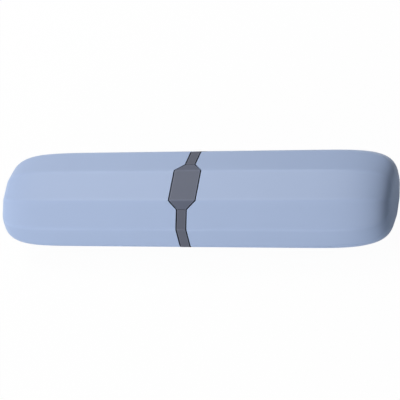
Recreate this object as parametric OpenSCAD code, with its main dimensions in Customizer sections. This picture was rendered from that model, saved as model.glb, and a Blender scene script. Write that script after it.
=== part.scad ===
// Travel case for an electric toothbrush: two deep shells that pull apart at a grey collar.
// X runs along the case, with the base half on the left and the cap on the right.
// The origin is under the middle of the collar, on the flat underside.

/* [Case] */
// Length over both rounded ends
case_l = 240; // [225:1:260]
// Width across the two side ridges
case_w = 62; // [59:0.5:68]
// Height from the flat underside to the flat top
case_h = 33.8; // [32.8:0.2:38]
// Rounding of the ten long ridges
ridge_r = 3; // [2:0.5:4]
// Rounding of the same ridges where they fade out on the ends
end_ridge_r = 9; // [4:0.5:11]
// Least rounding of those ridges on inside faces
inner_ridge_r = 0.3; // [0.2:0.05:1]
// Length over which each end rounds off
end_round = 56; // [48:1:62]
// How square the rounded ends are
end_square = 4.6; // [3.5:0.1:5]
// Wall of the two moulded shells
wall = 1.5; // [1.3:0.1:1.8]

/* [Collar] */
// Width of the grey band that shows between the shells
band_w = 5.4; // [4.4:0.2:7]
// Shadow gap between the band and each shell
band_gap = 0.6; // [0.3:0.1:0.8]
// Rounding of the ridges on the band and the button
band_ridge_r = 1; // [0.6:0.2:3]
// Clearance between the sleeve and the cap that slides over it
sleeve_gap = 0.3; // [0.3:0.05:0.4]
// Glue gap between the sleeve and the base shell
glue_gap = 0.1; // [0.05:0.05:0.2]
// Wall of the sleeve
sleeve_t = 1.3; // [1.1:0.1:1.6]
// Reach of the sleeve into the cap, past the band
sleeve_out = 16; // [15.5:0.5:19]
// Reach of the sleeve into the base shell, past the band
sleeve_in = 12; // [11.5:0.5:15]

/* [Button and latch] */
// Length of the button along the case
button_l = 15.8; // [14.6:0.2:17]
// How far the button runs past the top facet on each side, seen from above
button_taper = 4.7; // [4:0.1:5]
// Thickness of the button's plate
button_t = 1.7; // [1.5:0.1:1.8]
// Travel of the button
button_travel = 1.2; // [1:0.1:1.3]
// Gap round the button in the collar
button_gap = 0.2; // [0.15:0.05:0.3]
// Thickness of the catch plate under the cap's wall, with its glue
catch_t = 0.9; // [0.8:0.05:1]
// Length of the bar of the catch plate that the nose holds
catch_bar = 1.6; // [1.2:0.1:2]
// Width of the catch plate
catch_w = 8.6; // [7.6:0.2:9]
// Distance from the button's edge to the catch plate
catch_reach = 3.2; // [2.8:0.1:3.6]
// Length of the latch's nose
nose_l = 3; // [2.4:0.1:3.4]
// Width of the latch's nose
nose_w = 4.4; // [3.6:0.2:5]
// Thickness of the latch's arm
arm_t = 1.2; // [1:0.1:1.4]
// Gap that is kept between the sliding pieces of the latch
run_gap = 0.3; // [0.3:0.05:0.35]
// Floor of the tray under the latch
tray_t = 0.8; // [0.8:0.1:1]
// Distance of each spring from the middle of the button
spring_y = 5.6; // [5:0.1:6]
// Outer diameter of a spring
spring_d = 3.2; // [2.8:0.1:3.4]
// Diameter of the spring wire
wire_d = 0.36; // [0.3:0.02:0.4]
// Turns of a spring
spring_turns = 3; // [2.5:0.5:3]
// Width of the latch's arm
arm_w = 8.4; // [7:0.2:9]
// Margin between the latch's block and the button's long edges
block_edge = 1.9; // [1.4:0.1:2.4]
// Plastic left over each spring's pocket in the slide
pocket_roof = 0.7; // [0.6:0.05:0.8]
// Diameter of the studs that join the button to the slide
stud_d = 2.4; // [2:0.1:2.8]
// Length of those studs
stud_l = 1.4; // [1:0.1:1.6]
// Distance of each stud from the middle of the button
stud_x = 3.8; // [3.4:0.1:4]
// Diameter of the pin that centres each spring on the tray
spring_pin_d = 1.6; // [1.2:0.1:1.8]
// Height of that pin
spring_pin_l = 0.7; // [0.5:0.1:0.8]
// Distance of the tray's screws from the button's long edges
screw_reach = 3; // [2.9:0.1:3.4]
// Distance of the tray's screws from the middle of the case
screw_y = 7.5; // [7.2:0.1:8]
// Diameter of the collar's screw bosses
boss_d = 3.6; // [3.2:0.1:3.8]
// Height of the collar's screw bosses
boss_l = 1.4; // [1.2:0.1:1.5]
// Shank diameter of the tray's screws
screw_d = 1.6; // [1.4:0.1:1.8]
// Head diameter of the tray's screws
screw_head_d = 3; // [2.8:0.1:3.2]
// Head height of the tray's screws
screw_head_t = 0.7; // [0.6:0.05:0.8]

/* [Inside] */
// Wall of the liners' channels
liner_t = 1.2; // [1:0.1:1.4]
// Gap between the liners and the shells
liner_gap = 0.3; // [0.2:0.05:0.35]
// Gap between liner pieces that meet
joint_gap = 0.1; // [0.05:0.05:0.2]
// Thickness of a liner's ribs and end plates
rib_t = 1.4; // [1.2:0.1:1.8]
// Cross ribs between a liner's end plates
rib_count = 3; // [1:1:5]
// Diameter of the channel for the neck and head of the brush
neck_d = 18; // [16:0.5:20]
// Length of the wide part of the cap's channel
wide_l = 32; // [26:1:36]
// Gap between the wall of a spare head's pocket and the liner's side
pocket_margin = 0.5; // [0.3:0.1:1]
// Diameter of the pocket for the foot of the handle
heel_d = 20; // [18:0.5:21]
// Thickness of the grip pads in the handle's channel
grip_t = 0.6; // [0.5:0.1:0.8]
// Length of the grip pads
grip_l = 26; // [20:1:32]
// Cross ribs of a grip pad
grip_ribs = 7; // [4:1:9]
// Angle that each grip pad covers
grip_turn = 70; // [50:5:80]
// Diameter of the pegs that carry the spare heads
peg_d = 3.4; // [3:0.1:4]
// Length of the pegs
peg_l = 20; // [14:1:24]
// Foam left between the pocket of an end pad and the shell's end
pad_t = 8; // [6:0.5:10]

/* [Hidden] */
$fn = 48;

blue = "lightsteelblue";
grey = "dimgray";
pale = "gainsboro";

// Small overlap that keeps cuts clean
e = 0.01;
half_l = case_l / 2;
mid_z = case_h / 2;
side_p = case_w / 2;
side_q = mid_z / sin(72);
top_half = side_p * cos(72);

// The slide's block, the slot for its arm and the bosses for the screws
block_l = button_l - 2 * block_edge;
block_w = 2 * top_half - block_edge;
slot_w = max(arm_w, catch_w) + 2 * run_gap;
tray_w = 2 * (top_half + button_taper + tray_t);
drive_d = screw_head_d / 3;
drive_depth = screw_head_t / 2;
screw_x = button_l / 2 + screw_reach;
screw_places = [for (x = [-screw_x, screw_x], y = [-screw_y, screw_y]) [x, y]];

// Places along the case; the liners reach a share of the way into the rounded ends
liner_share = 0.4;
mouth_x = band_w / 2 + band_gap;
dome_x = half_l - end_round;
sleeve_end = band_w / 2 + sleeve_out;
sleeve_start = -(band_w / 2 + sleeve_in);
catch_x = button_l / 2 + catch_reach;
nose_x = catch_x + catch_bar + run_gap;
tray_start = -(screw_x + boss_d / 2 + tray_t);
base_liner_x = -sleeve_start + run_gap;
cap_liner_x = sleeve_end + 2 * run_gap;
liner_end = dome_x + end_round * liner_share;
pad_end = half_l - wall - liner_gap - pad_t;

// Depths below the top face
sleeve_depth = wall + sleeve_gap;
bore_depth = sleeve_depth + sleeve_t;
catch_depth = wall + catch_t;
arm_top = catch_depth + run_gap;
arm_bottom = arm_top + arm_t;
nose_top = wall + sleeve_gap - button_gap / 2;
floor_depth = arm_bottom + button_travel + run_gap;
tray_depth = floor_depth + tray_t;
spring_top = button_t + pocket_roof;
boss_depth = bore_depth + boss_l;
screw_grip = boss_depth - sleeve_depth - pocket_roof;

// Corners of the ten-sided section, its edges' outward normals, and outlines drawn in from it
corners = [for (k = [0:9]) [side_p * cos(36 * k), side_q * sin(36 * k)]];

function unit(v) = v / norm(v);
function normals(shape) = let (n = len(shape)) [
    for (k = [0:n - 1]) let (d = unit(shape[(k + 1) % n] - shape[k])) [d.y, -d.x]
];
function drawn_in(shape, by) = let (n = len(shape), out = normals(shape)) [
    for (k = [0:n - 1]) let (a = out[(k + n - 1) % n], b = out[k])
        shape[k] - by * (a + b) / (1 + a * b)
];

// The bay for the handle takes the height that the latch tray leaves
bay_d = case_h - bore_depth - tray_depth;
bay_z = bore_depth + bay_d / 2;

// The pockets for spare heads take the room between the bay and the side ridges
side_out = normals(corners)[0].x;
side_room = side_p * side_out - wall - liner_gap - liner_t - pocket_margin;
pocket_start = bay_d / 2 + liner_t + joint_gap;
pocket_d = 2 * (side_room - side_out * pocket_start) / (1 + side_out);
pocket_y = pocket_start + pocket_d / 2;

// One round corner of an outline: the arc runs between the normals of the two edges
arc_steps = 3;
function arc(centre, r, a, b) = let (start = atan2(a.y, a.x), turn = acos(a * b)) [
    for (j = [0:arc_steps]) let (t = start + turn * j / arc_steps) centre + r * [cos(t), sin(t)]
];
function section(inset, ridge = ridge_r) = let (
    r = max(ridge - inset, inner_ridge_r),
    centres = drawn_in(corners, inset + r),
    out = normals(corners),
    arcs = [for (k = [0:9]) arc(centres[k], r, out[(k + 9) % 10], out[k])]
) [
    for (k = [0:9]) each concat(
        arcs[k],
        k == 1 ? [on_slope(arcs[1][arc_steps], arcs[2][0], notch_end)] : [],
        k == 3 ? [on_slope(arcs[3][arc_steps], arcs[4][0], -notch_end)] : []
    )
];

// The point between two others at a given distance from the middle of the case
function on_slope(a, b, y) = a + (b - a) * (y - a.x) / (b.x - a.x);

// Outline of the button seen from above
button_shape = let (x = button_l / 2, n = band_w / 2, y = top_half, t = top_half + button_taper) [
    [x, -y], [x, y], [n, t], [-n, t], [-x, y], [-x, -y], [-n, -t], [n, -t]
];

// The notch that each shell's mouth leaves for the button, and where its slanting edge ends
notch = drawn_in(button_shape, -band_gap);
notch_slope = (notch[1].x - notch[2].x) / (notch[2].y - notch[1].y);
notch_end = notch[1].y + (notch[1].x - mouth_x) / notch_slope;
function mouth_at(y) = max(mouth_x, notch[1].x - max(abs(y) - notch[1].y, 0) * notch_slope);
function mouth(inset) = [
    for (p = section(inset)) [p.y > 0 ? mouth_at(p.x) : mouth_x, p.x, p.y + mid_z]
];

// A ring of the case at x, and the rings of one rounded end drawn in by an inset
function ring(x, shape, f = 1) = [for (p = shape) [x, p.x * f, p.y * f + mid_z]];
dome_steps = 12;
dome_turn = 84;
function dome(inset, first = 0) = [
    for (i = [0:dome_steps]) let (
        t = first + (dome_turn - first) * i / dome_steps,
        u = pow(sin(t), 2 / end_square),
        f = pow(cos(t), 2 / end_square),
        ridge = ridge_r + (end_ridge_r - ridge_r) * u * u
    ) ring(dome_x + (end_round - inset) * u, section(inset, ridge), f)
];

function backwards(list) = [for (i = [len(list) - 1:-1:0]) list[i]];

// A closed skin through rings that have the same number of points
module loft(rings) {
    n = len(rings[0]);
    last = (len(rings) - 1) * n;
    faces = [
        for (i = [0:len(rings) - 2], j = [0:n - 1])
            let (a = i * n + j, b = i * n + (j + 1) % n)
                each [[a, a + n, b + n], [a, b + n, b]],
        for (j = [1:n - 2]) each [[0, j, j + 1], [last, last + j + 1, last + j]],
    ];
    polyhedron([for (r = rings) each r], faces);
}

// Extrudes a shape drawn in Y and Z along the case
module along(x0, x1) {
    translate([x0, 0, 0]) rotate([90, 0, 90]) linear_extrude(x1 - x0) children();
}

module section_shape(inset, ridge = ridge_r) {
    translate([0, mid_z]) polygon(section(inset, ridge));
}

module upright(z0, z1) {
    translate([0, 0, z0]) linear_extrude(z1 - z0) children();
}

// One shell, from the tip of its outside over its mouth to the tip of its cavity
module shell() {
    color(blue) loft(concat(backwards(dome(0)), [mouth(0), mouth(wall)], dome(wall)));
}

module base_shell() {
    mirror([1, 0, 0]) shell();
}

module cap_shell() {
    shell();
}

// Steel plate bonded under the cap's top wall, with a window that the latch's nose rises into
module catch_plate() {
    window_l = nose_l + 2 * run_gap;
    color("silver") translate([0, 0, case_h - catch_depth]) difference() {
        translate([catch_x, -catch_w / 2, 0])
            cube([sleeve_end - run_gap - catch_x, catch_w, catch_t - joint_gap]);
        translate([nose_x - run_gap, -nose_w / 2 - run_gap, -e])
            cube([window_l, nose_w + 2 * run_gap, catch_t]);
    }
}

// Band and sleeve in one piece, with the window for the button and a slot for the latch's arm
module collar() {
    color(grey) difference() {
        union() {
            difference() {
                union() {
                    along(-band_w / 2, band_w / 2) section_shape(0, band_ridge_r);
                    along(-e, sleeve_end) section_shape(sleeve_depth);
                    along(sleeve_start, e) section_shape(wall + glue_gap);
                }
                along(sleeve_start - e, sleeve_end + e) section_shape(bore_depth);
            }
            for (p = screw_places) translate([p.x, p.y, case_h - boss_depth])
                cylinder(d = boss_d, h = boss_depth - sleeve_depth - e);
        }
        upright(mid_z, case_h + wall) polygon(drawn_in(button_shape, -button_gap));
        translate([0, -slot_w / 2, mid_z]) cube([sleeve_end + e, slot_w, mid_z]);
        for (p = screw_places) translate([p.x, p.y, case_h - boss_depth - e])
            cylinder(d = screw_d + joint_gap, h = screw_grip + e);
    }
}

// The plate that is pressed, bent over the two upper ridges like the case itself
module release_button() {
    color(grey) {
        intersection() {
            along(-button_l, button_l) difference() {
                section_shape(0, band_ridge_r);
                section_shape(button_t);
            }
            upright(mid_z, case_h + e) polygon(button_shape);
        }
        for (side = [-1, 1]) translate([side * stud_x, 0, case_h - button_t - stud_l])
            cylinder(d = stud_d, h = stud_l + button_t / 2);
    }
}

// Block under the button with the arm and the nose that holds the cap
module latch_slide() {
    color(pale) difference() {
        union() {
            translate([-block_l / 2, -block_w / 2, case_h - arm_bottom])
                cube([block_l, block_w, arm_bottom - button_t]);
            translate([0, -arm_w / 2, case_h - arm_bottom])
                cube([nose_x + nose_l, arm_w, arm_t]);
            translate([0, nose_w / 2, case_h]) rotate([90, 0, 0]) linear_extrude(nose_w) polygon([
                [nose_x, -arm_top - e], [nose_x + nose_l, -arm_top - e],
                [nose_x + nose_l, -arm_top], [nose_x + nose_l / 3, -nose_top],
                [nose_x, -nose_top],
            ]);
        }
        for (side = [-1, 1]) {
            translate([0, side * spring_y, case_h - arm_bottom - e])
                cylinder(d = spring_d + 2 * button_gap, h = arm_bottom - spring_top + e);
            translate([side * stud_x, 0, case_h - arm_bottom - e])
                cylinder(d = stud_d + 2 * joint_gap, h = arm_bottom);
        }
    }
}

// A compression spring between the tray's floor and its pocket in the slide
turn_rings = 8;
spring_rings = turn_rings * spring_turns;
spring_sides = 6;
spring_r = (spring_d - wire_d) / 2;
spring_rise = floor_depth - spring_top - wire_d - joint_gap;
spring_gap = spring_rise / spring_turns - wire_d;
echo(spring_gap = spring_gap);
module spring(side) {
    low = case_h - floor_depth + (wire_d + joint_gap) / 2;
    function wire(i) = let (
        t = 360 * i / turn_rings,
        out = [cos(t), sin(t), 0],
        centre = spring_r * out + [0, 0, low + spring_rise * i / spring_rings]
    ) [
        for (j = [0:spring_sides - 1]) let (a = 360 * j / spring_sides)
            centre + wire_d / 2 * (cos(a) * out + [0, 0, sin(a)])
    ];
    color("silver") translate([0, side * spring_y, 0])
        loft([for (i = [0:spring_rings]) wire(i)]);
}

module spring_front() {
    spring(-1);
}

module spring_rear() {
    spring(1);
}

// Tray that closes the collar under the button, with a seat for each spring
module latch_tray() {
    color(pale) difference() {
        intersection() {
            along(tray_start, sleeve_end) section_shape(bore_depth + joint_gap / 2);
            translate([tray_start, -tray_w / 2, case_h - tray_depth])
                cube([case_l, tray_w, tray_depth]);
        }
        difference() {
            union() {
                upright(case_h - floor_depth, case_h)
                    polygon(drawn_in(button_shape, -button_gap));
                translate([0, -slot_w / 2, case_h - floor_depth])
                    cube([nose_x + nose_l + run_gap, slot_w, floor_depth]);
            }
            for (side = [-1, 1]) translate([0, side * spring_y, case_h - floor_depth - e])
                cylinder(d = spring_pin_d, h = spring_pin_l);
        }
        for (p = screw_places) translate([p.x, p.y, case_h - tray_depth - e]) {
            cylinder(d = screw_head_d + 2 * button_gap, h = tray_t + e);
            cylinder(d = screw_d + 2 * joint_gap, h = tray_depth);
            translate([0, 0, tray_depth - boss_depth - joint_gap])
                cylinder(d = boss_d + 2 * joint_gap, h = boss_depth);
        }
    }
}

// Four self-tapping screws that hold the tray up in the collar
module tray_screws() {
    for (p = screw_places) color("silver") translate([p.x, p.y, case_h - floor_depth]) {
        difference() {
            translate([0, 0, -screw_head_t]) cylinder(d = screw_head_d, h = screw_head_t);
            translate([0, 0, -screw_head_t - e]) cylinder(d = drive_d, h = drive_depth, $fn = 6);
        }
        cylinder(d = screw_d, h = screw_grip + floor_depth - boss_depth - joint_gap);
    }
}

// A round bar or bore along the case, from one diameter to another
module round_along(x0, x1, d0, d1, y = 0, z = bay_z) {
    translate([x0, y, z]) rotate([0, 90, 0]) cylinder(d1 = d0, d2 = d1, h = x1 - x0);
}

// The channel for the handle, and in the cap the narrower one for the neck and head
module base_channel(extra, over = 0) {
    round_along(base_liner_x - over, liner_end + over, bay_d + extra, bay_d + extra);
}

module cap_channel(extra, over = 0) {
    step = cap_liner_x + wide_l;
    fall = (bay_d - neck_d) / 2;
    round_along(cap_liner_x - over, step, bay_d + extra, bay_d + extra);
    round_along(step - e, step + fall + e, bay_d + extra, neck_d + extra);
    round_along(step + fall, liner_end + over, neck_d + extra, neck_d + extra);
}

module spare_pockets(extra, over = 0) {
    for (y = [-pocket_y, pocket_y])
        round_along(cap_liner_x - over, liner_end + over, pocket_d + extra, pocket_d + extra, y, mid_z);
}

// Ribs, end plates and the shelf where the two halves of a liner meet
module liner_frame(x0) {
    pitch = (liner_end - x0 - rib_t) / (rib_count + 1);
    for (i = [0:rib_count + 1])
        along(x0 + i * pitch, x0 + i * pitch + rib_t) section_shape(wall + liner_gap);
    intersection() {
        along(x0 + e, liner_end - e) section_shape(wall + liner_gap);
        translate([0, -side_p, bay_z - liner_t]) cube([liner_end, case_w, 2 * liner_t]);
    }
}

// Lower (side -1) or upper (side 1) half of what it is given
module half(side) {
    intersection() {
        children();
        translate([0, -side_p, side < 0 ? bay_z - case_h - joint_gap / 2 : bay_z + joint_gap / 2])
            cube([half_l, case_w, case_h]);
    }
}

module base_liner(side) {
    color(pale) mirror([1, 0, 0]) half(side) difference() {
        union() {
            liner_frame(base_liner_x);
            base_channel(2 * liner_t);
        }
        base_channel(0, e);
    }
}

module cap_liner(side) {
    color(pale) half(side) difference() {
        union() {
            liner_frame(cap_liner_x);
            cap_channel(2 * liner_t);
            spare_pockets(2 * liner_t);
        }
        cap_channel(0, e);
        spare_pockets(0, e);
    }
}

module base_liner_lower() {
    base_liner(-1);
}

module base_liner_upper() {
    base_liner(1);
}

module cap_liner_lower() {
    cap_liner(-1);
}

module cap_liner_upper() {
    cap_liner(1);
}

// Soft ribbed pad that grips the handle, bent to the channel
module grip_pad(turn) {
    r = bay_d / 2 - joint_gap / 2;
    start = base_liner_x + grip_l;
    rib = grip_l / (2 * grip_ribs - 1);
    color(grey) translate([-start, 0, bay_z]) rotate([turn, 0, 0]) rotate([0, -90, 0])
        rotate([0, 0, -grip_turn / 2]) rotate_extrude(angle = grip_turn) {
            translate([r - grip_t / 2, 0]) square([grip_t / 2, grip_l]);
            for (i = [0:grip_ribs - 1])
                translate([r - grip_t, 2 * i * rib]) square([grip_t, rib]);
        }
}

module grip_pad_lower() {
    grip_pad(180);
}

module grip_pad_upper() {
    grip_pad(0);
}

// Foam pad that fills the rounded end of a shell from x onwards, with a round pocket
module end_pad(x, d) {
    inset = wall + liner_gap;
    u = (x - dome_x) / (end_round - inset);
    difference() {
        loft(dome(inset, asin(pow(u, end_square / 2))));
        round_along(x - wall, pad_end, d, d);
    }
}

module base_end_pad() {
    color(grey) mirror([1, 0, 0]) end_pad(liner_end + joint_gap, heel_d);
}

module cap_end_pad() {
    color(grey) end_pad(liner_end + rib_t + 2 * joint_gap, neck_d);
}

// Plate behind the cap's liner with a peg for each spare head
module peg_plate() {
    start = liner_end + joint_gap;
    tip = peg_d / 2;
    color(pale) {
        difference() {
            along(start, start + rib_t) section_shape(wall + 2 * liner_gap);
            round_along(start - e, start + rib_t + e, neck_d, neck_d);
        }
        for (y = [-pocket_y, pocket_y]) {
            round_along(start - peg_l, start + e, peg_d, peg_d, y, mid_z);
            round_along(start - peg_l - tip, start - peg_l, tip, peg_d, y, mid_z);
        }
    }
}

base_shell();
collar();
release_button();
latch_slide();
spring_front();
spring_rear();
latch_tray();
tray_screws();
base_liner_lower();
base_liner_upper();
grip_pad_lower();
grip_pad_upper();
base_end_pad();
cap_shell();
catch_plate();
cap_liner_lower();
cap_liner_upper();
peg_plate();
cap_end_pad();
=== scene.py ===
import math

import bmesh
import bpy
from mathutils import Matrix, Vector


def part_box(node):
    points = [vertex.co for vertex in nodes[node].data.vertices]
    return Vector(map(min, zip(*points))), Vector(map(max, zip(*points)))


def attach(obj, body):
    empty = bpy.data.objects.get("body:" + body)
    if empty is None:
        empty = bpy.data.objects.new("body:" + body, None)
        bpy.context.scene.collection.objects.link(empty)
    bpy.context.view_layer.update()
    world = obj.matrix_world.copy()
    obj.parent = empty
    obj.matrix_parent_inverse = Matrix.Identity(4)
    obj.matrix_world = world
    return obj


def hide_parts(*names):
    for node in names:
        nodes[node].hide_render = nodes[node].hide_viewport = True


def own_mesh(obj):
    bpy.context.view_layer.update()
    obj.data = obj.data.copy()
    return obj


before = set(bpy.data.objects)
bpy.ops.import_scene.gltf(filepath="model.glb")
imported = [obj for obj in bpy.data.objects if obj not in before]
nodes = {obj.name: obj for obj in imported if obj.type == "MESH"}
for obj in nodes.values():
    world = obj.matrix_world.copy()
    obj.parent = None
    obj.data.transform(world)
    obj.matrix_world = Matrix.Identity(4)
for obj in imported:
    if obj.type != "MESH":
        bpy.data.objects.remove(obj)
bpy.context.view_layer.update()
mm = 0.001
print("frame loaded,", len(nodes), "nodes")


def addObject(name, data):
    made = bpy.data.objects.new(name, data)
    bpy.context.scene.collection.objects.link(made)
    return made


def meshFrom(form, name):
    mesh = bpy.data.meshes.new(name)
    form.to_mesh(mesh)
    form.free()
    return mesh


# camera

photoCamera = {
    "target": (0, 0, 16.9 * mm),
    "turn": 22.67,    # degrees that it stands to the right of the case's front
    "tilt": 63.22,    # then degrees up, round the long axis of the case
    "roll": -0.13,    # and last round the line of sight
    "distance": 1.070,
    "lens": 167.0,
    "sensor": 36,
    "shiftX": 0.013,
    "shiftY": -0.0035,
    "clip": (0.05, 20),
}


def makeCamera(s):
    turn, tilt = math.radians(s["turn"]), math.radians(s["tilt"])
    level, rise = math.cos(tilt), math.sin(tilt)
    back = Vector((math.sin(turn), -math.cos(turn) * level, math.cos(turn) * rise))
    right = Vector((math.cos(turn), math.sin(turn) * level, -math.sin(turn) * rise))
    turned = Matrix((right, back.cross(right), back)).transposed().to_4x4()
    data = bpy.data.cameras.new("photoCamera")
    data.sensor_width, data.lens = s["sensor"], s["lens"]
    data.shift_x, data.shift_y = s["shiftX"], s["shiftY"]
    data.clip_start, data.clip_end = s["clip"]
    camera = addObject("photoCamera", data)
    camera.matrix_world = (
        Matrix.Translation(Vector(s["target"]) + back * s["distance"])
        @ turned
        @ Matrix.Rotation(math.radians(s["roll"]), 4, "Z")
    )
    bpy.context.scene.camera = camera


makeCamera(photoCamera)
print("camera made")

# ten-sided forms

caseForm = {
    "halfLength": 120 * mm,
    "halfWidth": 31 * mm,
    "middle": 16.9 * mm,
    "ridge": 3 * mm,           # rounding of the ridges, and what it grows to at the tips
    "endRidge": 9 * mm,
    "leastRidge": 0.3 * mm,
    "endRound": 56 * mm,       # length of the rounded ends
    "endSquare": 4.6,          # 2 would be an ellipse
    "endTurn": 89.6,           # degrees at the last ring before the tip
    "wall": 1.5 * mm,
    "mouth": 3.3 * mm,         # from the middle of the band
    "lip": 0.28 * mm,
    "sides": 10,
    "arcSteps": 8,
    "edgeSteps": 5,
    "domeSteps": 34,
    "straightSteps": 9,
    "lipSteps": 5,
}
sides = caseForm["sides"]
sideTurn = math.tau / sides
sideHeight = caseForm["middle"] / math.sin(2 * sideTurn)
topHalf = caseForm["halfWidth"] * math.cos(2 * sideTurn)    # half the width of the top side
corners = [
    Vector((caseForm["halfWidth"] * math.cos(sideTurn * k), sideHeight * math.sin(sideTurn * k)))
    for k in range(sides)
]

# outline of the button, and the gap to the notch that each mouth leaves for it
buttonForm = {"halfLength": 7.9 * mm, "halfNeck": 2.7 * mm, "taper": 4.7 * mm, "gap": 0.6 * mm}

# shader helpers


class Wire:
    # a socket that takes part in sums
    def __init__(self, paint, socket):
        self.paint, self.socket = paint, socket

    def __add__(self, other):
        return self.paint.maths("ADD", self, other)

    def __radd__(self, other):
        return self.paint.maths("ADD", other, self)

    def __sub__(self, other):
        return self.paint.maths("SUBTRACT", self, other)

    def __rsub__(self, other):
        return self.paint.maths("SUBTRACT", other, self)

    def __mul__(self, other):
        return self.paint.maths("MULTIPLY", self, other)

    def __truediv__(self, other):
        return self.paint.maths("DIVIDE", self, other)

    def __abs__(self):
        return self.paint.maths("ABSOLUTE", self)


class Outputs:
    def __init__(self, paint, node):
        self.paint, self.node = paint, node

    def __getitem__(self, name):
        return Wire(self.paint, self.node.outputs[name])


class Paint:
    def __init__(self, tree):
        self.tree = tree
        self.tree.nodes.clear()

    def node(self, kind, inputs=None, **settings):
        # an input is a wire or a plain value
        made = self.tree.nodes.new(kind)
        for name, value in settings.items():
            setattr(made, name, value)
        for name, value in (inputs or {}).items():
            if isinstance(value, Wire):
                self.tree.links.new(value.socket, made.inputs[name])
            else:
                made.inputs[name].default_value = value
        return Outputs(self, made)

    def maths(self, kind, *values):
        return self.node("ShaderNodeMath", dict(enumerate(values)), operation=kind)["Value"]

    def mixColour(self, factor, a, b):
        # a mix node keeps its colours in inputs 6 and 7 and gives them out at 2
        return self.node("ShaderNodeMix", {0: factor, 6: a, 7: b}, data_type="RGBA")[2]

    def noise(self, place, scale, detail, roughness=0.5):
        inputs = {"Vector": place, "Scale": scale, "Detail": detail, "Roughness": roughness}
        return self.node("ShaderNodeTexNoise", inputs)["Fac"]

    def stretched(self, place, by):
        return self.node("ShaderNodeVectorMath", {0: place, 1: by}, operation="MULTIPLY")["Vector"]

    def ways(self, vector):
        return self.node("ShaderNodeSeparateXYZ", {"Vector": vector})


def newMaterial(name):
    material = bpy.data.materials.new(name)
    material.use_nodes = True
    return material, Paint(material.node_tree)


def finishMaterial(paint, base, rough, height, depth, fixed=None):
    # height runs 0..1 and depth is what that comes to, in metres
    bump = paint.node("ShaderNodeBump", {"Strength": 1.0, "Distance": depth, "Height": height})
    inputs = {"Base Color": base, "Roughness": rough, "Normal": bump["Normal"]}
    shader = paint.node("ShaderNodeBsdfPrincipled", {**inputs, **(fixed or {})})
    paint.node("ShaderNodeOutputMaterial", {"Surface": shader["BSDF"]})


def linear(*screen):
    # from the 0..255 numbers of a screen colour
    shares = [v / 255 for v in screen]
    return tuple(v / 12.92 if v <= 0.04045 else ((v + 0.055) / 1.055) ** 2.4 for v in shares)


def shaded(colour, by=1):
    return (*[min(1.0, v * by) for v in colour], 1)


# materials


def above(wire, edge, soft):
    # 0 below the edge and 1 above it, over a soft step
    inputs = {"Value": wire, "From Min": edge - soft, "From Max": edge + soft}
    return wire.paint.node("ShaderNodeMapRange", inputs, interpolation_type="SMOOTHSTEP")["Result"]


def ridgeLines(paint, place, width):
    # 1 along the long ridges of the ten-sided form, and 0 from the width on, counted in sides
    ways = paint.ways(place)
    across, up = ways["Y"] / caseForm["halfWidth"], (ways["Z"] - caseForm["middle"]) / sideHeight
    turn = paint.maths("ARCTAN2", up, across) / sideTurn
    away = abs(turn - paint.maths("ROUND", turn))
    return 1 - above(away, width / 2, width / 2)


# painted shadow, and a painted highlight with wear on the edges; each pair is where a change lies
# and how soft it is
gapPaint = {
    "rubbed": (-0.55 * mm, 0.2 * mm),         # from the outline of the band and the button
    "floorStart": (-0.02 * mm, 0.02 * mm),    # the dark strip past that outline
    "floorEnd": (0.65 * mm, 0.05 * mm),
    "mouthFacing": (0.6, 0.1),                # how squarely a face looks along +X
    "mouthFade": (6 * mm, 1 * mm),            # from the middle of the band
    "mouthEnd": (12 * mm, 1 * mm),
    "mouthFaded": 0.4,                        # share of the dark that is gone past the fade
    "wallUpright": (0.4, 0.1),                # how squarely a face looks along X
    "wallLevel": (0.35, 0.1),                 # and along Z, where it stays unpainted
}
# painted shade: the near-black colour painted into the shadow gaps
paintedGapShade = (0.008, 0.009, 0.012)


def pastButton(paint, place):
    # how far a place lies outside the outline of the band and the button, in metres
    ways = paint.ways(place)
    half, neck, taper = buttonForm["halfLength"], buttonForm["halfNeck"], buttonForm["taper"]
    wider = (topHalf + taper - abs(ways["Y"])) * ((half - neck) / taper)
    wider = paint.maths("MAXIMUM", 0, paint.maths("MINIMUM", half - neck, wider))
    return abs(ways["X"]) - (wider * above(ways["Z"], caseForm["middle"], 1 * mm) + neck)


# painted highlight and wear: the edges of the band and of the button are painted a little lighter,
# for the light their rounding catches and for rubbing in handling
def rubbedAndHighlitEdges(paint, place):
    return above(pastButton(paint, place), *gapPaint["rubbed"])


# painted shade: the walls and the floor of the shadow gaps are painted dark for the shade that
# falls in them; the cap's own mouth is left unpainted
def baseMouthShade(paint, place, facing):
    away = abs(paint.ways(place)["X"])
    looking = above(paint.ways(facing)["X"], *gapPaint["mouthFacing"])
    fade = 1 - above(away, *gapPaint["mouthFade"]) * gapPaint["mouthFaded"]
    return looking * (1 - above(away, *gapPaint["mouthEnd"])) * fade


# painted shade: a dark strip on the collar just past the outline of the band and the button, for
# the floor of the shadow gap
def gapFloorShade(paint, place, facing):
    past = pastButton(paint, place)
    return above(past, *gapPaint["floorStart"]) * (1 - above(past, *gapPaint["floorEnd"]))


# painted shade: the button's walls that look along X are painted dark, for the shadow gap beside
# them
def buttonWallShade(paint, place, facing):
    ways = paint.ways(facing)
    level = above(abs(ways["Z"]), *gapPaint["wallLevel"])
    return above(abs(ways["X"]), *gapPaint["wallUpright"]) * (1 - level)
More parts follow.
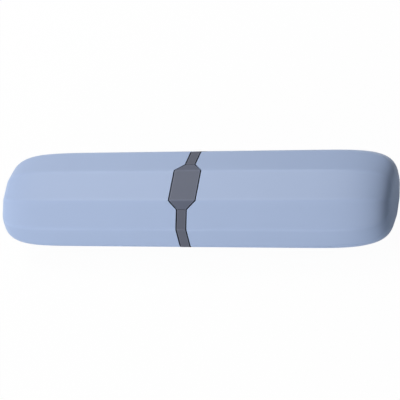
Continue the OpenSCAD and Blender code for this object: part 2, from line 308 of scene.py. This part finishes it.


# mottle is a change of colour, the lighter ridges and edges are a painted highlight with wear, the
# dark colours are painted shade in the gaps, spread is one of roughness, and depth is the bump in
# mm
plasticLooks = {
    "shellBlue": {
        "colour": linear(172, 190, 223), "rough": 0.38, "gloss": 0.2, "spread": 0.05,
        "mottle": 0.012, "peel": 1400, "grain": 4200, "depth": 0.004,
        "worn": 1.03, "wornWidth": 0.12,
        # painted shade: the base shell's mouth face is painted dark within the shadow gap
        "dark": baseMouthShade, "darkColour": (0.06, 0.068, 0.085),
    },
    "collarGrey": {
        "colour": linear(96, 100, 114), "rough": 0.38, "gloss": 0.13, "spread": 0.06,
        "mottle": 0.02, "peel": 1500, "grain": 4200, "depth": 0.004,
        "worn": 1.22, "wornWidth": 0.05, "edges": rubbedAndHighlitEdges,
        "dark": gapFloorShade, "darkColour": paintedGapShade,
    },
    "buttonGrey": {
        "colour": linear(94, 100, 118), "rough": 0.38, "gloss": 0.17, "spread": 0.06,
        "mottle": 0.02, "peel": 1500, "grain": 4200, "depth": 0.004,
        "worn": 1.22, "wornWidth": 0.05, "edges": rubbedAndHighlitEdges,
        "dark": buttonWallShade, "darkColour": paintedGapShade,
    },
    "slidePale": {
        "colour": linear(206, 208, 210), "rough": 0.35, "gloss": 0.5, "spread": 0.06,
        "mottle": 0.02, "peel": 1200, "grain": 3600, "depth": 0.003,
    },
    "linerPale": {
        "colour": linear(214, 216, 219), "rough": 0.46, "gloss": 0.4, "spread": 0.06,
        "mottle": 0.02, "peel": 900, "grain": 3000, "depth": 0.006,
    },
}
plasticNoise = {
    "cloud": 45,
    "flow": 160,
    "flowStretch": (0.35, 1, 1),
    "peelRough": 0.04,    # how far the peel and the wear change the roughness
    "wornRough": 0.04,
    "heights": {"peel": 0.6, "grain": 0.4, "flow": 0.5},
}


def mouldedPlastic(name, s):
    material, paint = newMaterial(name)
    coords = paint.node("ShaderNodeTexCoord")
    place, facing = coords["Object"], coords["Normal"]
    n, heights = plasticNoise, plasticNoise["heights"]
    cloud = paint.noise(place, n["cloud"], 3)
    flow = paint.noise(paint.stretched(place, n["flowStretch"]), n["flow"], 3)
    peel = paint.noise(place, s["peel"], 3, 0.6)
    grain = paint.noise(place, s["grain"], 2)
    deep, pale = [shaded(s["colour"], 1 + way * s["mottle"]) for way in (-1, 1)]
    base = paint.mixColour(cloud, deep, pale)
    rough = s["rough"] + (flow - 0.5) * s["spread"] + (peel - 0.5) * n["peelRough"]
    # painted highlight with wear along the ridges and edges: a lighter colour there, and a little
    # less roughness
    if "worn" in s:
        worn = ridgeLines(paint, place, s["wornWidth"])
        if "edges" in s:
            worn = paint.maths("MAXIMUM", worn, s["edges"](paint, place))
        base = paint.mixColour(worn, base, shaded(s["colour"], s["worn"]))
        rough = rough - worn * n["wornRough"]
    # painted shade in the gaps, mixed over the colour
    if "dark" in s:
        base = paint.mixColour(s["dark"](paint, place, facing), base, shaded(s["darkColour"]))
    height = peel * heights["peel"] + grain * heights["grain"] + flow * heights["flow"]
    finishMaterial(paint, base, rough, height, s["depth"] * mm, {"Specular IOR Level": s["gloss"]})
    return material


steelLooks = {
    "deep": (0.52, 0.53, 0.55), "pale": (0.66, 0.67, 0.69), "stain": 320,
    "lines": 2600, "stretch": (0.06, 1, 1), "rough": 0.28, "spread": 0.14, "depth": 0.002,
}


def drawnSteel(name, s):
    material, paint = newMaterial(name)
    place = paint.node("ShaderNodeTexCoord")["Object"]
    lines = paint.noise(paint.stretched(place, s["stretch"]), s["lines"], 2)
    stain = paint.noise(place, s["stain"], 3)
    base = paint.mixColour(stain, shaded(s["deep"]), shaded(s["pale"]))
    rough = s["rough"] + lines * s["spread"]
    finishMaterial(paint, base, rough, lines, s["depth"] * mm, {"Metallic": 1.0})
    return material


rubberLooks = {
    "deep": (0.075, 0.077, 0.084), "pale": (0.11, 0.113, 0.122), "dust": 260,
    "grain": 2400, "rough": 0.68, "spread": 0.2, "depth": 0.01,
}


def padRubber(name, s):
    material, paint = newMaterial(name)
    place = paint.node("ShaderNodeTexCoord")["Object"]
    dust = paint.noise(place, s["dust"], 4)
    grain = paint.noise(place, s["grain"], 3, 0.7)
    base = paint.mixColour(dust, shaded(s["deep"]), shaded(s["pale"]))
    finishMaterial(paint, base, s["rough"] + (grain - 0.5) * s["spread"], grain, s["depth"] * mm)
    return material


foamLooks = {
    "deep": (0.13, 0.135, 0.15), "pale": (0.21, 0.215, 0.235), "cells": 1500,
    "soft": 420, "rough": 0.85, "spread": 0.1, "depth": 0.05,
}


def closedFoam(name, s):
    material, paint = newMaterial(name)
    place = paint.node("ShaderNodeTexCoord")["Object"]
    inputs = {"Vector": place, "Scale": s["cells"]}
    cells = paint.node("ShaderNodeTexVoronoi", inputs, feature="F1")["Distance"]
    soft = paint.noise(place, s["soft"], 3)
    base = paint.mixColour(cells, shaded(s["deep"]), shaded(s["pale"]))
    rough = s["rough"] + (soft - 0.5) * s["spread"]
    finishMaterial(paint, base, rough, cells + soft, s["depth"] * mm)
    return material


materials = {name: mouldedPlastic(name, s) for name, s in plasticLooks.items()}
materials["steel"] = drawnSteel("steel", steelLooks)
materials["rubber"] = padRubber("rubber", rubberLooks)
materials["foam"] = closedFoam("foam", foamLooks)
print("materials made")

# outlines and rings of the ten-sided form


def outward(shape):
    count = len(shape)
    out = []
    for k in range(count):
        run = (shape[(k + 1) % count] - shape[k]).normalized()
        out.append(Vector((run.y, -run.x)))
    return out


def drawnIn(shape, by):
    out = outward(shape)
    pairs = [(out[k - 1], out[k]) for k in range(len(shape))]
    return [p - by * (a + b) / (1 + a.dot(b)) for p, (a, b) in zip(shape, pairs)]


def buttonOutline():
    x, n = buttonForm["halfLength"], buttonForm["halfNeck"]
    y, t = topHalf, topHalf + buttonForm["taper"]
    points = [(x, -y), (x, y), (n, t), (-n, t), (-x, y), (-x, -y), (-n, -t), (n, -t)]
    return [Vector(p) for p in points]


notch = drawnIn(buttonOutline(), -buttonForm["gap"])
notchSlope = (notch[1].x - notch[2].x) / (notch[2].y - notch[1].y)
notchEnd = notch[1].y + (notch[1].x - caseForm["mouth"]) / notchSlope
notchedSides = (1, 3)    # the sides on which the notch's slanting edges end


def mouthAt(p):
    if p.y <= 0:
        return caseForm["mouth"]
    return max(caseForm["mouth"], notch[1].x - max(abs(p.x) - notch[1].y, 0) * notchSlope)


def section(inset, ridge=caseForm["ridge"]):
    arcSteps, edgeSteps = caseForm["arcSteps"], caseForm["edgeSteps"]
    r = max(ridge - inset, caseForm["leastRidge"])
    centres, out = drawnIn(corners, inset + r), outward(corners)
    arcs = []
    for k, centre in enumerate(centres):
        a, b = out[k - 1], out[k]
        start, turn = math.atan2(a.y, a.x), math.acos(a.dot(b))
        angles = [start + turn * j / arcSteps for j in range(arcSteps + 1)]
        arcs.append([centre + r * Vector((math.cos(t), math.sin(t))) for t in angles])
    points = []
    for k in range(sides):
        a, b = arcs[k][-1], arcs[(k + 1) % sides][0]
        points += arcs[k]
        stops = [j / edgeSteps for j in range(1, edgeSteps)]
        if k in notchedSides:
            # the nearest stop moves onto the place where the notch's slanting edge ends
            along = ((notchEnd if k == notchedSides[0] else -notchEnd) - a.x) / (b.x - a.x)
            nearest = min(range(len(stops)), key=lambda j: abs(stops[j] - along))
            stops[nearest] = along
        points += [a.lerp(b, t) for t in stops]
    return points


domeStart = caseForm["halfLength"] - caseForm["endRound"]


def domeRing(inset, t):
    # the section at a turn of the rounded end, as a superellipse from its start to its tip
    u = math.sin(t) ** (2 / caseForm["endSquare"])
    f = math.cos(t) ** (2 / caseForm["endSquare"])
    ridge = caseForm["ridge"] + (caseForm["endRidge"] - caseForm["ridge"]) * u * u
    x = domeStart + (caseForm["endRound"] - inset) * u
    return [Vector((x, p.x * f, p.y * f + caseForm["middle"])) for p in section(inset, ridge)]


def dome(inset, steps, first=0.0):
    last = caseForm["endTurn"]
    turns = [math.radians(first + (last - first) * i / steps) for i in range(steps + 1)]
    return [domeRing(inset, t) for t in turns]


def quarter(i, steps):
    # what is left of the sine and of the cosine, along a rounded edge
    t = math.pi / 2 * i / steps
    return 1 - math.sin(t), 1 - math.cos(t)


def sided(rings, side):
    return [[Vector((p.x * side, p.y, p.z)) for p in ring] for ring in rings]


def skinMesh(name, rings):
    # a closed skin through rings of the same count, with a middle point at each end
    form = bmesh.new()
    made = [[form.verts.new(p) for p in ring] for ring in rings]
    count = len(rings[0])
    for low, high in zip(made, made[1:]):
        for j in range(count):
            form.faces.new((low[j], high[j], high[(j + 1) % count], low[(j + 1) % count]))
    for ring in (made[0], made[-1]):
        middle = form.verts.new(sum((v.co for v in ring), Vector()) / count)
        for j in range(count):
            form.faces.new((ring[j], ring[(j + 1) % count], middle))
    bmesh.ops.recalc_face_normals(form, faces=form.faces)
    return meshFrom(form, name)


def smoothShade(mesh, angle):
    # edges that turn by more than the angle, in degrees, stay sharp
    mesh.polygons.foreach_set("use_smooth", [True] * len(mesh.polygons))
    mesh.set_sharp_from_angle(angle=math.radians(angle))


def keepFlat(piece):
    # flat faces stay flat to the light, and only the roundings between them shade smoothly
    weighted = piece.modifiers.new("flats", "WEIGHTED_NORMAL")
    weighted.keep_sharp = True


def placePiece(name, mesh, material, body, replaced, angle=32):
    piece = addObject(name, mesh)
    smoothShade(mesh, angle)
    mesh.materials.append(materials[material])
    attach(piece, body)
    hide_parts(replaced)
    return piece


# the two shells

shellPieces = [
    {"name": "shellBase", "side": -1, "body": "base", "node": "base_shell"},
    {"name": "shellCap", "side": 1, "body": "cap", "node": "cap_shell"},
]


def mouthRing(inset, back, share=0.0):
    # a ring behind the mouth's outline; the share leads over to the start of the rounded end
    spots = [(mouthAt(o) + back) * (1 - share) + domeStart * share for o in section(0)]
    shape = section(inset)
    return [Vector((x, p.x, p.y + caseForm["middle"])) for x, p in zip(spots, shape)]


def shellRings():
    # from the tip of the outside over the lip of the mouth to the tip of the inside
    lip, wall = caseForm["lip"], caseForm["wall"]
    straight, lipSteps = caseForm["straightSteps"], caseForm["lipSteps"]
    rings = list(reversed(dome(0, caseForm["domeSteps"])))
    for i in range(1, straight + 1):
        rings.append(mouthRing(0, lip, 1 - i / straight))
    for i in range(1, lipSteps):
        bySine, byCosine = quarter(i, lipSteps)
        rings.append(mouthRing(lip * byCosine, lip * bySine))
    rings.append(mouthRing(lip, 0))
    rings.append(mouthRing(wall - lip, 0))
    for i in range(1, lipSteps):
        bySine, byCosine = quarter(i, lipSteps)
        rings.append(mouthRing(wall - lip * bySine, lip * byCosine))
    for i in range(straight):
        rings.append(mouthRing(wall, lip, i / straight))
    return rings + dome(wall, caseForm["domeSteps"] // 2)


def makeShells():
    rings = shellRings()
    for s in shellPieces:
        mesh = skinMesh(s["name"], sided(rings, s["side"]))
        keepFlat(placePiece(s["name"], mesh, "shellBlue", s["body"], s["node"]))


makeShells()
print("shells made")

# foam in the rounded ends

foamPieces = [
    {"name": "foamBase", "side": -1, "body": "base", "node": "base_end_pad",
     "start": 86.5 * mm, "pocket": 10.0 * mm},
    {"name": "foamCap", "side": 1, "body": "cap", "node": "cap_end_pad",
     "start": 88.0 * mm, "pocket": 9.0 * mm},
]
foamForm = {
    "inset": 1.8 * mm,
    "edge": 1.1 * mm,           # rounding of the face's and the pocket's edge
    "reach": 13 * mm,           # from the middle of the face to its rim, roughly
    "pocketEnd": 110.2 * mm,
    "pocketZ": 15.35 * mm,
    "pocketFloor": 0.5,         # share of the pocket's radius at the last ring
    "steps": 20,
    "edgeSteps": 5,
    "faceSteps": 4,
    "pocketSteps": 6,
}


def foamTurn(x):
    # degrees of the rounded end's ring at this x
    reach = caseForm["endRound"] - foamForm["inset"]
    return math.degrees(math.asin(((x - domeStart) / reach) ** (caseForm["endSquare"] / 2)))


def foamHole(x, radius):
    # a round ring whose points face those of the ten-sided section
    height, ring = foamForm["pocketZ"], []
    for p in section(foamForm["inset"]):
        a = math.atan2(p.y + caseForm["middle"] - height, p.x)
        ring.append(Vector((x, math.cos(a) * radius, math.sin(a) * radius + height)))
    return ring


def foamRings(s):
    # from the tip over the face's rounded edge, in to the pocket and down it
    inset, edge, edgeSteps = foamForm["inset"], foamForm["edge"], foamForm["edgeSteps"]
    start, pocket, pocketEnd = s["start"], s["pocket"], foamForm["pocketEnd"]
    first = foamTurn(start + edge)
    rings = list(reversed(dome(inset, foamForm["steps"], first)))
    brim = domeRing(inset, math.radians(first))
    centre = Vector((0, 0, caseForm["middle"]))
    for i in range(1, edgeSteps + 1):
        bySine, byCosine = quarter(i, edgeSteps)
        by = 1 - edge * byCosine / foamForm["reach"]
        rim = [(p - centre) * by + centre for p in brim]
        rings.append([Vector((start + edge * bySine, p.y, p.z)) for p in rim])
    flat, inside = rings[-1], foamHole(start, pocket + edge)
    for i in range(1, foamForm["faceSteps"] + 1):
        rings.append([a.lerp(b, i / foamForm["faceSteps"]) for a, b in zip(flat, inside)])
    for i in range(1, edgeSteps + 1):
        bySine, byCosine = quarter(i, edgeSteps)
        rings.append(foamHole(start + edge * byCosine, pocket + edge * bySine))
    for i in range(1, foamForm["pocketSteps"] + 1):
        down = (pocketEnd - start - edge) * i / foamForm["pocketSteps"]
        rings.append(foamHole(start + edge + down, pocket))
    rings.append(foamHole(pocketEnd, pocket * foamForm["pocketFloor"]))
    return rings


def makeFoam():
    for s in foamPieces:
        mesh = skinMesh(s["name"], sided(foamRings(s), s["side"]))
        piece = placePiece(s["name"], mesh, "foam", s["body"], s["node"], angle=60)


makeFoam()
print("foam made")

# rubber grips in the handle's bay

gripForm = {
    "radius": 12.2 * mm,
    "thick": 0.6 * mm,
    "start": -41 * mm,
    "length": 26 * mm,
    "z": 15.35 * mm,
    "turn": 70,                             # degrees that a pad reaches round the handle
    "ribs": 7,
    "ribRound": 0.6,                        # under 1 for ribs with broad tops
    "rim": 12,                              # over what share of the pad its rim rises, 1 in 12
    "rises": (0.3, 0.25, 0.45),             # of the thickness: at the rim, inside it, on a rib
    "alongSteps": 108,
    "roundSteps": 22,
}
gripPieces = [
    {"name": "gripLower", "node": "grip_pad_lower", "facing": -90},
    {"name": "gripUpper", "node": "grip_pad_upper", "facing": 90},
]


def gripPoint(facing, along, across, inner):
    g = gripForm
    a = math.radians(facing + g["turn"] * (across - 0.5))
    edge = min(1, g["rim"] * min(across, 1 - across, along, 1 - along))
    wave = 0.5 - 0.5 * math.cos(math.tau * along * g["ribs"])
    least, inside, rib = g["rises"]
    rise = least + inside * math.sin(edge * math.pi / 2) + rib * wave ** g["ribRound"] * edge
    r = g["radius"] - (g["thick"] * rise if inner else 0)
    return (g["start"] - g["length"] * along, r * math.cos(a), r * math.sin(a) + g["z"])


def rimOf(sheet):
    # the border of a sheet of rows, once round
    sideUp, sideDown = [row[-1] for row in sheet[1:]], [row[0] for row in sheet[-2:0:-1]]
    return sheet[0] + sideUp + sheet[-1][-2::-1] + sideDown


def makeGrips():
    alongSteps, roundSteps = gripForm["alongSteps"], gripForm["roundSteps"]
    for s in gripPieces:
        form = bmesh.new()
        sheets = []
        for inner in (False, True):
            sheet = []
            for i in range(alongSteps + 1):
                along, stops = i / alongSteps, [j / roundSteps for j in range(roundSteps + 1)]
                spots = [gripPoint(s["facing"], along, across, inner) for across in stops]
                sheet.append([form.verts.new(spot) for spot in spots])
            sheets.append(sheet)
        for sheet in sheets:
            for low, high in zip(sheet, sheet[1:]):
                for j in range(roundSteps):
                    form.faces.new((low[j], low[j + 1], high[j + 1], high[j]))
        outer, inner = [rimOf(sheet) for sheet in sheets]
        for j in range(len(outer)):
            k = (j + 1) % len(outer)
            form.faces.new((outer[j], outer[k], inner[k], inner[j]))
        bmesh.ops.recalc_face_normals(form, faces=form.faces)
        mesh = meshFrom(form, s["name"])
        placePiece(s["name"], mesh, "rubber", "base", s["node"], angle=40)


makeGrips()
print("grips made")

# springs under the button

springForm = {
    "wire": 0.36 * mm,
    "turns": 3,
    "travel": 1.2 * mm,    # of the button, by which they get shorter
    "turnSteps": 24,
    "sides": 10,
}
springPieces = [
    {"name": "springFront", "node": "spring_front"},
    {"name": "springRear", "node": "spring_rear"},
]


def coilRings(low, high):
    # a coil that fills the box from low to high, as rings of its wire
    g = springForm
    middle, wire = (low + high) / 2, g["wire"]
    radius, rise = (high.y - low.y - wire) / 2, high.z - low.z - wire
    count = g["turns"] * g["turnSteps"]
    angles = [math.tau * j / g["sides"] for j in range(g["sides"])]
    rings = []
    for i in range(count + 1):
        t = math.tau * i / g["turnSteps"]
        out, up = Vector((math.cos(t), math.sin(t), 0)), Vector((0, 0, 1))
        centre = Vector((middle.x, middle.y, low.z + wire / 2 + rise * i / count)) + out * radius
        rings.append([centre + wire / 2 * (math.cos(a) * out + math.sin(a) * up) for a in angles])
    return rings


def makeSprings():
    # each one stands on the tray
    for s in springPieces:
        low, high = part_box(s["node"])
        mesh = skinMesh(s["name"], coilRings(low, high))
        piece = placePiece(s["name"], mesh, "steel", "base", s["node"], angle=60)
        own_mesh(piece)


makeSprings()
print("springs made")

# finishes of the CAD nodes

edgeForm = {"weld": 0.002 * mm, "smoothTo": 30, "bevelFrom": 40, "segments": 3}
nodeFinishes = {
    "collar": {"material": "collarGrey", "edge": 0.1},
    "release_button": {"material": "buttonGrey", "edge": 0.1},
    "latch_slide": {"material": "slidePale", "edge": 0.1},
    "latch_tray": {"material": "slidePale", "edge": 0.1},
    "base_liner_lower": {"material": "linerPale", "edge": 0.12},
    "base_liner_upper": {"material": "linerPale", "edge": 0.12},
    "cap_liner_lower": {"material": "linerPale", "edge": 0.12},
    "cap_liner_upper": {"material": "linerPale", "edge": 0.12},
    "peg_plate": {"material": "linerPale", "edge": 0.15},
    "catch_plate": {"material": "steel", "edge": 0.08},
    "tray_screws": {"material": "steel", "edge": 0.06},
}


def finishNodes():
    for name, s in nodeFinishes.items():
        node = nodes[name]
        node.data.materials.clear()
        node.data.materials.append(materials[s["material"]])
        smoothShade(node.data, edgeForm["smoothTo"])
        weld = node.modifiers.new("weld", "WELD")
        weld.merge_threshold = edgeForm["weld"]
        bevel = node.modifiers.new("edges", "BEVEL")
        bevel.width, bevel.segments = s["edge"] * mm, edgeForm["segments"]
        bevel.limit_method = "ANGLE"
        bevel.angle_limit = math.radians(edgeForm["bevelFrom"])
        keepFlat(node)


finishNodes()
print("nodes finished")

# floor, world and lamps

studio = {
    "skyLeft": 0.33,                       # the sky's strength at the left end
    "skyFront": 0.13,                      # and at the front
    "skyEdge": 0.6,                        # both fade out from here to as far on the other side
    "floorSize": 6,
    "floorDrop": 0.02 * mm,
    "floorBounce": 0.62,                   # how pale the floor is to the light
    "floorTint": (0.89, 0.99, 1.08),       # and its colour there, a little blue
    "floorColour": 0.95,                   # how pale it is to the camera
    "floorGlow": 0.97,                     # share of it that shows plain white to the camera
    "mirrorShare": 0.35,                   # how much of that white the glossy pieces show
}
lampAim = (0, 0, 20 * mm)
lamps = [
    {"name": "leftLamp", "place": (-0.3, 0.5, 0.28), "size": 0.3, "power": 0.55,
     "aim": (-20 * mm, 0, 20 * mm)},
    {"name": "topLamp", "place": (-0.5, 0.54, 1.09), "size": 0.6, "power": 7.35, "aim": lampAim},
    {"name": "frontLamp", "place": (-0.35, -0.9, 0.2), "size": 0.6, "power": 5.2, "aim": lampAim},
    {"name": "ridgeLamp", "place": (-0.5, -0.2, 1.19), "size": 0.35, "power": 2.25, "aim": lampAim},
]
white = (1, 1, 1, 1)


def shownTo(paint):
    # 1 for the camera, and a share for what metal and glass show of the background
    path = paint.node("ShaderNodeLightPath")
    mirrored = paint.maths("MAXIMUM", path["Is Glossy Ray"], path["Is Transmission Ray"])
    return paint.maths("MAXIMUM", path["Is Camera Ray"], mirrored * studio["mirrorShare"])


def makeFloor():
    form = bmesh.new()
    bmesh.ops.create_grid(form, x_segments=4, y_segments=4, size=studio["floorSize"])
    floor = addObject("floor", meshFrom(form, "floor"))
    floor.location.z = -studio["floorDrop"]
    material, paint = newMaterial("floorWhite")
    shows = shownTo(paint)
    bounced = shaded(studio["floorTint"], studio["floorBounce"])
    colour = paint.mixColour(shows, bounced, shaded((1, 1, 1), studio["floorColour"]))
    plain = paint.node("ShaderNodeBsdfDiffuse", {"Color": colour})["BSDF"]
    glow = paint.node("ShaderNodeEmission", {"Color": white, "Strength": 1.0})["Emission"]
    mixed = paint.node("ShaderNodeMixShader", {0: shows * studio["floorGlow"], 1: plain, 2: glow})
    paint.node("ShaderNodeOutputMaterial", {"Surface": mixed["Shader"]})
    floor.data.materials.append(material)


def makeWorld():
    world = bpy.data.worlds.new("studioWorld")
    bpy.context.scene.world = world
    world.use_nodes = True
    paint = Paint(world.node_tree)
    ways = paint.ways(paint.node("ShaderNodeTexCoord")["Generated"])

    def fade(way, strength):
        # falls from its strength on the side of -way to none on the other
        edge = studio["skyEdge"]
        inputs = {"Value": ways[way], "From Min": edge, "From Max": -edge, "To Max": strength}
        return paint.node("ShaderNodeMapRange", inputs, interpolation_type="SMOOTHSTEP")["Result"]

    light = fade("X", studio["skyLeft"]) + fade("Y", studio["skyFront"])
    shows = shownTo(paint)
    strength = light * (1 - shows) + shows
    sky = paint.node("ShaderNodeBackground", {"Color": white, "Strength": strength})
    paint.node("ShaderNodeOutputWorld", {"Surface": sky["Background"]})


def makeLamps():
    for s in lamps:
        data = bpy.data.lights.new(s["name"], "AREA")
        data.size, data.energy = s["size"], s["power"]
        lamp = addObject(s["name"], data)
        lamp.location = s["place"]
        lamp.rotation_mode = "QUATERNION"
        lamp.rotation_quaternion = (Vector(s["aim"]) - Vector(s["place"])).to_track_quat("-Z", "Y")


makeFloor()
makeWorld()
makeLamps()
bpy.context.scene.view_settings.view_transform = "Standard"
print("studio made")
